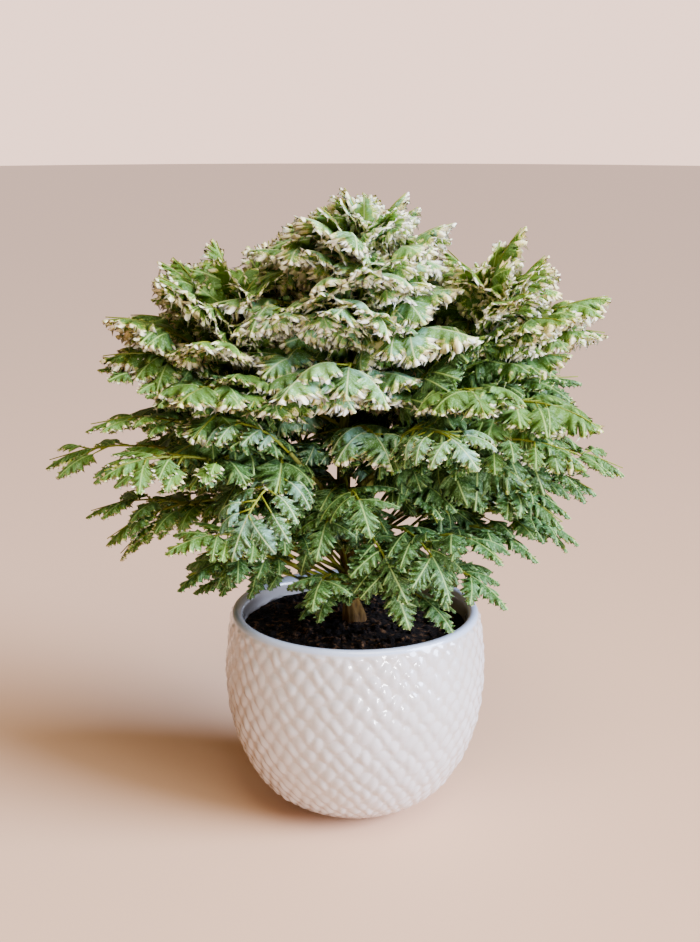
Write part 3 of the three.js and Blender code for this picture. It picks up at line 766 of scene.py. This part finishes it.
def makeLeaflet(kind, count):
    lobes = makeLobes(kind, count)
    columns = lobeColumns * count + tipColumns
    dropSelection()
    bpy.ops.mesh.primitive_grid_add(x_subdivisions=columns - 1, y_subdivisions=4, size=2)
    piece = bpy.context.object
    mesh = piece.data

    def places():
        points = readPoints(mesh)
        column = np.rint((points[:, 0] + 1) / 2 * (columns - 1)).astype(int)
        return column, np.rint((points[:, 1] + 1) * 2).astype(int) - 2

    # the corners between the lobes come out
    column, row = places()
    spare = set()
    for face in mesh.polygons:
        beyondNotch = max(abs(row[i]) for i in face.vertices) == 2
        first = min(column[i] for i in face.vertices)
        if beyondNotch and (first % lobeColumns == lastColumn or first >= lobeColumns * count):
            spare.add(face.index)
    selectOnly(mesh, "FACE", spare)
    editMesh(bpy.ops.mesh.delete, type="FACE")
    column, row = places()
    beside = np.abs(row)
    own = column % lobeColumns
    onLobe = column < lobeColumns * count
    inLobe = (own > 0) & (own < lastColumn)
    markPoints(mesh, "crease", (own == veinColumn) & (beside > 0) & onLobe)
    markPoints(mesh, "middle", inLobe & (beside == 1) & onLobe)
    markPoints(mesh, "spoke", (own != veinColumn) & (beside == 2))
    # the knobs stand up and down by turns, and so do the lobes
    knobs = np.choose(own, [0, -0.9, 0.5, -0.1, 0.5, -0.9, 0]) * (beside == 2)
    sway = np.where(column // lobeColumns % 2, 0.8, -0.8) * np.choose(beside, [0, 0.35, 1]) * inLobe
    markPoints(mesh, "ruffle", (knobs + sway) * onLobe)
    onTip = np.choose(beside, [0.6, 0.95, 1])
    markPoints(mesh, "edge", np.where(onLobe, np.choose(beside, [0, 0.4, 1]), onTip))
    shaped = []
    for c, r in zip(column, row):
        x, y = leafletPoint(kind, lobes, *divmod(int(c), lobeColumns), abs(int(r)))
        shaped.append((x, math.copysign(y, r) if r else 0, 0))
    writePoints(mesh, shaped)
    selectOnly(mesh, "VERT", range(len(mesh.vertices)))
    editMesh(bpy.ops.mesh.remove_doubles, threshold=mergeWithin)

    # each half of a lobe is one face, so the edges that fan out to its knobs go
    middle, spoke = readMarks(mesh, "middle") > 0.5, readMarks(mesh, "spoke") > 0.5
    fans = {edge.index for edge in mesh.edges
            for a, b in (edge.vertices, tuple(edge.vertices)[::-1]) if middle[a] and spoke[b]}
    selectOnly(mesh, "EDGE", fans)
    editMesh(bpy.ops.mesh.dissolve_edges, use_verts=False)

    # the blade falls away from its rib, each lobe is ridged along its vein, and the edge is thin
    uses = Counter(edge for face in mesh.polygons for edge in face.edge_keys)
    rim = {i for edge, times in uses.items() if times == 1 for i in edge}
    flat = readPoints(mesh)
    away = np.abs(flat[:, 1])
    flat[:, 2] = -kind["drop"] * away + kind["cup"] * (2 * readMarks(mesh, "crease") - 1) * (away > 0.01)
    flat[:, 2] += kind["ruffle"] * readMarks(mesh, "ruffle")
    inner = np.array([i not in rim for i in range(len(flat))])
    upper, lower = flat.copy(), flat.copy()
    upper[inner, 2] += kind["puff"] / 2
    lower[inner, 2] -= kind["puff"] / 2
    writePoints(mesh, upper)
    selectOnly(mesh, "VERT", range(len(flat)))
    editMesh(bpy.ops.mesh.duplicate)
    editMesh(bpy.ops.mesh.flip_normals)
    writePoints(mesh, np.concatenate([upper, lower]))
    markPoints(mesh, "under", np.concatenate([np.zeros(len(flat)), inner]))
    # the underside needs no corner in the middle of each lobe
    middle = readMarks(mesh, "middle") > 0.5
    selectOnly(mesh, "VERT", {i for i in range(len(flat), 2 * len(flat)) if middle[i]})
    editMesh(bpy.ops.mesh.dissolve_verts)
    selectOnly(mesh, "VERT", range(len(mesh.vertices)))
    editMesh(bpy.ops.mesh.remove_doubles, threshold=mergeWithin)
    points = readPoints(mesh)
    master = {"flat": points, "faces": [tuple(face.vertices) for face in mesh.polygons]}
    for key in ("crease", "under", "edge"):
        master[key] = readMarks(mesh, key)
    master["map"] = np.stack([np.clip(points[:, 0], 0, 1), 0.5 + points[:, 1]], axis=1)
    bpy.data.objects.remove(piece)
    return master


leaflets = {(name, count): makeLeaflet(kind, count)
            for name, kind in leafletKinds.items() for count in kind["lobes"]}
for (name, count), master in leaflets.items():
    print(name, "leaflet with", count, "lobes on each side:", len(master["faces"]), "faces,",
          sum(len(face) - 2 for face in master["faces"]), "triangles")


# Fronds. Each one takes its place from the solid that it replaces, and its arch from the same few values.

forms = {
    "fan": {"width": 0.6, "widest": 0.4, "sweep": (84, 30), "spacing": 11, "droop": (72, 56),
            "leaflet": "fan", "shortest": 14, "longest": 28, "tip": 33, "lobeLength": 4.3, "loose": 15,
            "stalk": 1.15, "petiole": 0.12, "skin": "frosted_frond",
            "companions": ((-62, 4), (-32, 20), (30, -6), (60, 16))},
    "feather": {"width": 0.52, "widest": 0.36, "sweep": (68, 46), "spacing": 9, "droop": (60, 42),
                "leaflet": "fan", "shortest": 13, "longest": 25, "tip": 29, "lobeLength": 4.0, "loose": 15,
                "stalk": 1.0, "petiole": 0.2, "skin": "green_frond",
                "companions": ((-52, 12), (-24, -8), (26, 18), (50, 0), (-4, 46), (108, 12), (6, -20))},
    "low": {"width": 0.44, "widest": 0.34, "sweep": (68, 46), "spacing": 9.6, "droop": (46, 28),
            "leaflet": "oak", "shortest": 12, "longest": 23, "tip": 26, "lobeLength": 3.2, "loose": 14,
            "stalk": 0.9, "skin": "green_frond",
            "companions": ((-36, 12), (-16, -5), (20, 14), (38, 2), (3, 24))},
}
forms["front"] = {**forms["fan"], "width": 0.5, "spacing": 8.5, "leaflet": "oak", "shortest": 11,
                  "longest": 20, "tip": 24, "lobeLength": 3.0, "stalk": 0.9}
hangingCompanions = ((-10, -24), (16, -16))
clearHeight = 130  # low fronds that start above this hang more fronds over the pot
# Stem, number of fronds, form, place along the stem and bend, first to last, and how many stand alone
crowns = [
    ("main", 19, "fan", (0.44, 1), (98, 30), 6),
    ("left", 7, "feather", (0.36, 1), (62, 40), 0),
    ("right", 7, "feather", (0.36, 1), (62, 40), 0),
    ("backLeft", 4, "feather", (0.6, 1), (74, 20), 0),
    ("backRight", 3, "feather", (0.6, 1), (74, 36), 0),
    ("back", 3, "fan", (0.6, 1), (90, 50), 0),
    ("frontLeft", 2, "front", (0.7, 1), (96, 80), 2),
    ("frontRight", 1, "front", (1, 1), (90, 80), 1),
]
# Stem, height of the foot, bend, petiole's share of the length, and how much further the cream comes in
lowFronds = [
    ("left", 150, 52, 0.3, 0.36), ("main", 120, 52, 0.5, 0.26), ("main", 112, 70, 0.36, 0),
    ("main", 106, 52, 0.36, 0), ("main", 108, 76, 0.3, 0), ("main", 158, 62, 0.2, 0),
    ("main", 138, 100, 0.34, 0), ("main", 110, 76, 0.34, 0), ("main", 118, 76, 0.38, 0),
    ("main", 128, 74, 0.4, 0), ("right", 164, 50, 0.3, 0),
]


def listFronds():
    listed = []
    for k, (stem, height, bend, petiole, frost) in enumerate(lowFronds):
        along = next(t / 400 for t in range(401) if stemPoint(stems[stem], t / 400).z >= height)
        listed.append({"node": f"low_frond_{k + 1}", "stem": stem, "form": "low", "along": along,
                       "bend": bend, "petiole": petiole, "alone": False, "frost": frost})
    for stem, count, form, places, bends, alone in crowns:
        for k in range(count):
            u = k / max(count - 1, 1)
            listed.append({"node": f"{stem}_frond_{k + 1}", "stem": stem, "form": form,
                           "along": lerp(*places, u), "bend": lerp(*bends, u * u),
                           "petiole": forms[form]["petiole"], "alone": k < alone, "frost": 0})
    return listed


def placeOf(frond):
    # the four corners nearest the stem are the frond's foot, and the next four end its straight stalk
    corners = np.unique(np.round(readPoints(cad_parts[frond["node"]].data), 7), axis=0)
    seat = np.array(stemPoint(stems[frond["stem"]], frond["along"])[:]) * mm
    near = corners[np.argsort(np.linalg.norm(corners - seat, axis=1))]
    foot = near[:4]
    root = foot.mean(axis=0)
    rest = near[4:]
    stalkEnd = rest[np.argsort(np.linalg.norm(rest - root, axis=1))][:4].mean(axis=0)
    heading = stalkEnd - root
    stalk = float(np.linalg.norm(heading))
    heading /= stalk
    edges = sorted((np.linalg.norm(p - q), tuple(p - q)) for i, p in enumerate(foot) for q in foot[i + 1:])
    up = np.array(edges[0][1])
    up = up - heading * up.dot(heading)
    up /= np.linalg.norm(up)
    if up[2] < 0:
        up = -up
    side = np.cross(up, heading)
    return root, heading, side, up, stalk / frond["petiole"]


class Arch:
    # a frond's rib: straight for its stalk, then an even bend downwards
    def __init__(self, root, heading, side, up, length, stalk, bend):
        self.root, self.heading, self.side, self.up = root, heading, side, up
        self.length, self.stalk, self.bend = length, stalk, max(rad(bend), 0.02)
        self.radius = (length - stalk) / self.bend

    def at(self, s):
        if s <= self.stalk:
            return self.root + self.heading * s, self.heading, self.up
        turn = (s - self.stalk) / self.radius
        point = (self.root + self.heading * (self.stalk + self.radius * math.sin(turn))
                 - self.up * self.radius * (1 - math.cos(turn)))
        forward = self.heading * math.cos(turn) - self.up * math.sin(turn)
        return point, forward, self.up * math.cos(turn) + self.heading * math.sin(turn)


def bentLeaflet(master, base, forward, up, length, droop, twist, widen):
    # lays the flat leaflet along its own small arch
    across = np.cross(up, forward)
    up = up * math.cos(twist) + across * math.sin(twist)
    across = np.cross(up, forward)
    flat = master["flat"]
    x, y = flat[:, 0], flat[:, 1] * widen
    turn = x * droop
    radius = length / droop
    lift = (flat[:, 2] - 0.9 * y * y) * length
    along = (radius + lift) * np.sin(turn)
    height = lift * np.cos(turn) - radius * (1 - np.cos(turn))
    return base + np.outer(along, forward) + np.outer(y * length, across) + np.outer(height, up)


def stalkTube(stops, thickness, thin):
    # a tapered tube through stops that each have a centre, a forward and an up direction
    sides = 5
    last = len(stops) - 1
    points, faces = [], []
    for k, (centre, forward, up) in enumerate(stops):
        across = np.cross(up, forward)
        r = lerp(thickness, thin, (k / last) ** 1.2)
        for j in range(sides):
            a = 2 * math.pi * j / sides
            points.append(centre + across * r * math.cos(a) + up * r * math.sin(a))
    for k in range(last):
        for j in range(sides):
            a, b = k * sides + j, k * sides + (j + 1) % sides
            faces.append((a, b, b + sides, a + sides))
    faces.append(tuple(range(sides))[::-1])
    faces.append(tuple(last * sides + j for j in range(sides)))
    return np.array(points), faces


class Lace:
    # gathers the stalks and leaflets of one node into one mesh, with their maps and shades
    def __init__(self):
        self.points, self.faces, self.maps, self.count = [], [], [], 0
        self.shades = {"frost": [], "tint": [], "crease": [], "under": [], "edge": []}

    def add(self, points, faces, leafletMap, **shades):
        self.points.append(points)
        self.faces += [tuple(i + self.count for i in face) for face in faces]
        self.maps.append(leafletMap)
        for key, values in self.shades.items():
            values.append(np.broadcast_to(shades.get(key, 0.0), len(points)))
        self.count += len(points)

    def makeObject(self, name):
        mesh = bpy.data.meshes.new(name)
        mesh.from_pydata(np.concatenate(self.points).tolist(), [], self.faces)
        corner = np.empty(len(mesh.loops), dtype=np.int32)
        mesh.loops.foreach_get("vertex_index", corner)
        layer = mesh.uv_layers.new(name="leaflet")
        layer.data.foreach_set("uv", np.concatenate(self.maps)[corner].astype(np.float32).ravel())
        for key, values in self.shades.items():
            attribute = mesh.attributes.new(key, "FLOAT", "POINT")
            attribute.data.foreach_set("value", np.concatenate(values).astype(np.float32))
        mesh.polygons.foreach_set("use_smooth", np.ones(len(mesh.polygons), dtype=bool))
        mesh.update()
        piece = bpy.data.objects.new(name, mesh)
        bpy.context.scene.collection.objects.link(piece)
        return piece


stalkMap = (0.0, 3.0)


def addStalk(lace, stops, thickness, thin):
    points, faces = stalkTube(stops, thickness, thin)
    lace.add(points, faces, np.tile(stalkMap, (len(points), 1)))


def addLeaflet(lace, form, draw, base, heading, up, length, droop, frost):
    counts = leafletKinds[form["leaflet"]]["lobes"]
    count = min(counts, key=lambda n: abs(length / (n + 1) - form["lobeLength"] * mm))
    master = leaflets[form["leaflet"], count]
    twist = rad(draw.uniform(-1, 1) * form["loose"])
    points = bentLeaflet(master, base, heading, up, length, droop, twist, draw.uniform(0.9, 1.12))
    frost += draw.uniform(-0.08, 0.08)
    lace.add(points, master["faces"], master["map"], frost=frost, tint=draw.random(), crease=master["crease"],
             under=master["under"], edge=master["edge"])


def growFrond(lace, arch, form, draw, frost):
    # one stalk with its pairs of leaflets, each on a stalk of its own, and a leaflet at its end
    blade = arch.length - arch.stalk
    tipLength = min(form["tip"] * mm, 0.55 * blade)
    thickness = form["stalk"] * mm * math.sqrt(arch.length / (80 * mm))
    stops = [arch.at(arch.length * share) for share in np.linspace(0, 0.97, 9)]
    addStalk(lace, stops, thickness, 0.25 * mm)
    ribbed = blade - 0.8 * tipLength
    pairs = max(2, round(ribbed / (form["spacing"] * mm)))
    for k in range(pairs):
        u = (k + 0.5) / pairs * ribbed / blade
        widest = form["widest"]
        fullness = 0.6 + 0.4 * u / widest if u < widest else 1 - 0.5 * (u - widest) / (1 - widest)
        for hand in (-1, 1):
            s = arch.stalk + ribbed * (k + 0.4 + 0.22 * hand * (-1) ** k) / pairs
            base, forward, up = arch.at(s)
            across = np.cross(up, forward)
            sweep = rad(lerp(*form["sweep"], u) + draw.uniform(-8, 8))
            lift = rad(draw.uniform(-0.2, 1) * form["loose"])
            heading = forward * math.cos(sweep) + across * hand * math.sin(sweep)
            leafUp = up * math.cos(lift) - heading * math.sin(lift)
            heading = heading * math.cos(lift) + up * math.sin(lift)
            reach = form["width"] * blade * fullness * draw.uniform(0.9, 1.04)
            longest = form["longest"] * mm * draw.uniform(0.84, 1)
            length = min(max(reach * 0.94, form["shortest"] * mm), longest)
            ownStalk = max(reach - length, 0.6 * mm)
            seat = base + heading * ownStalk - leafUp * 0.02 * ownStalk * ownStalk / mm
            addStalk(lace, [(base, heading, leafUp), (seat, heading, leafUp)], 0.5 * thickness, 0.3 * mm)
            droop = rad(lerp(*form["droop"], u) + draw.uniform(-14, 16)) + lift
            addLeaflet(lace, form, draw, seat, heading, leafUp, length, droop, frost)
    base, forward, up = arch.at(arch.length - tipLength)
    addLeaflet(lace, form, draw, base, forward, up, tipLength, rad(30), frost)


def companionOf(arch, stem, along, turn, rise, roll, shrink, bend, shift):
    # a smaller frond a little further up or down the stem, turned aside round the upright axis and raised.
    # Beside an upright frond it leans out instead, and all of them lie a little on one side.
    steep = max(math.degrees(math.asin(arch.heading[2])) - 48, 0) / 40
    turn, rise = rad(turn * (1 + 1.6 * steep)), rad(rise - 18 * steep)
    shrink *= 1 + 0.2 * steep
    heading, side, up = (turned(turn) @ v for v in (arch.heading, arch.side, arch.up))
    raised = heading * math.cos(rise) + up * math.sin(rise)
    up = up * math.cos(rise) - heading * math.sin(rise)
    c, s = math.cos(rad(roll)), math.sin(rad(roll))
    up, side = up * c + side * s, side * c - up * s
    root = arch.root
    if along < 1:
        at = min(max(along + shift, 0.2), 1)
        root = np.array(stemPoint(stem, at)[:]) * mm + raised * stemRadius(stem, at) * 0.6 * mm
    return Arch(root, raised, side, up, arch.length * shrink, arch.stalk * shrink, bend + 14 * steep)


bleach = {"least": -0.14, "most": 0.36, "from": 160, "over": 70}


def creamAt(height):
    # how far the cream comes in: most at the top of the plant and hardly at all low down, where the same
    # value lets painted shade darken the greens
    rise = (height / mm - bleach["from"]) / bleach["over"]
    return lerp(bleach["least"], bleach["most"], min(max(rise, 0), 1))


def makeFrond(frond, order):
    draw = random.Random(100 + order)
    root, heading, side, up, length = placeOf(frond)
    form = forms[frond["form"]]
    arch = Arch(root, heading, side, up, length, length * frond["petiole"], frond["bend"])
    tip = arch.at(length)[0]
    frost = creamAt(max(tip[2], root[2])) + frond["frost"] + draw.uniform(-0.07, 0.07)
    lace = Lace()
    growFrond(lace, arch, form, draw, frost)
    clearOfPot = frond["form"] == "low" and root[2] > clearHeight * mm
    beside = () if frond["alone"] else form["companions"]
    for turn, rise in beside + (hangingCompanions if clearOfPot else ()):
        companion = companionOf(arch, stems[frond["stem"]], frond["along"], turn + draw.uniform(-8, 8),
                                rise + draw.uniform(-5, 6), draw.uniform(-1, 1) * form["loose"],
                                draw.uniform(0.76, 0.95), frond["bend"] * draw.uniform(0.85, 1.1),
                                draw.uniform(-0.05, 0.05))
        growFrond(lace, companion, form, draw, frost + draw.uniform(-0.06, 0.04))
    piece = lace.makeObject(frond["node"] + "_lace")
    finishPiece(piece, frondSkins[form["skin"]], form["skin"], frond["node"])
    solid = readPoints(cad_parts[frond["node"]].data)
    return float(np.linalg.norm(solid - tip, axis=1).min())


misses = [makeFrond(frond, k) for k, frond in enumerate(listFronds())]
print("fronds:", len(misses), "with the tips", round(max(misses) / mm, 2), "mm off at most")

meshes = [thing.data for thing in bpy.data.objects if thing.type == "MESH" and thing.name != "floor"]
triangles = sum(len(face.vertices) - 2 for mesh in meshes for face in mesh.polygons)
print("triangles in the scene:", triangles)
